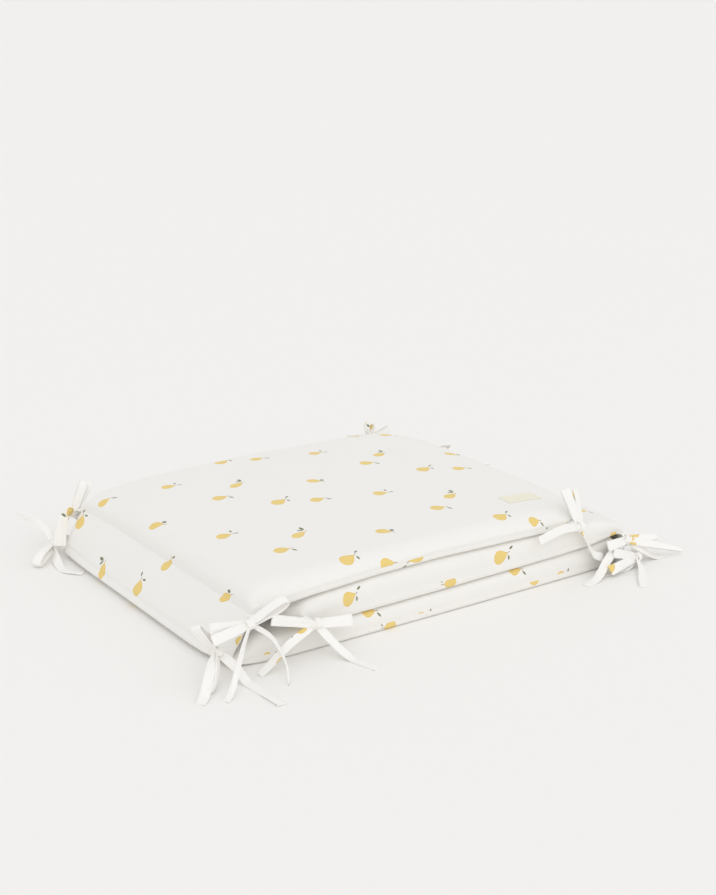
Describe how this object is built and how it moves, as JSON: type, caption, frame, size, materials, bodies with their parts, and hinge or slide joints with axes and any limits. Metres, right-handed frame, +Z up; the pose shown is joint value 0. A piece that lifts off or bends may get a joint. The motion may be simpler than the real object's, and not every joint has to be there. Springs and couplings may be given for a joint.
{
  "type": "crib bumper",
  "caption": "Long padded cloth bumper for a cot, folded flat in layers, with knotted bow ties along its two long edges and a blank sewn label.",
  "frame": {"origin": "centre of the folded pad's flat underside, on the surface that it rests on, ties left out", "axes": "+X along the folded pad, from the two folds' end that carries the tall panel towards the free end of the top layer; +Y from the long edge with the label to the other long edge; +Z up"},
  "size_m": [0.8051, 0.6347, 0.1235],
  "materials": {
    "printed_cotton": "matte woven cotton, off-white, with a scattered print of yellow pears",
    "tie_cotton": "matte woven cotton, off-white, with bits of the same print",
    "label_tape": "cream woven tape, blank"
  },
  "bodies": {
    "root": {"bumper_pad": "printed_cotton", "label": "label_tape", "tie_top_left_front": "tie_cotton", "tie_bottom_left_front": "tie_cotton", "tie_middle_left_front": "tie_cotton", "tie_top_right_front": "tie_cotton", "tie_bottom_right_front": "tie_cotton", "tie_middle_right_front": "tie_cotton", "tie_top_left_back": "tie_cotton", "tie_bottom_left_back": "tie_cotton", "tie_middle_left_back": "tie_cotton", "tie_top_right_back": "tie_cotton", "tie_bottom_right_back": "tie_cotton", "tie_middle_right_back": "tie_cotton"}
  },
  "joints": []
}
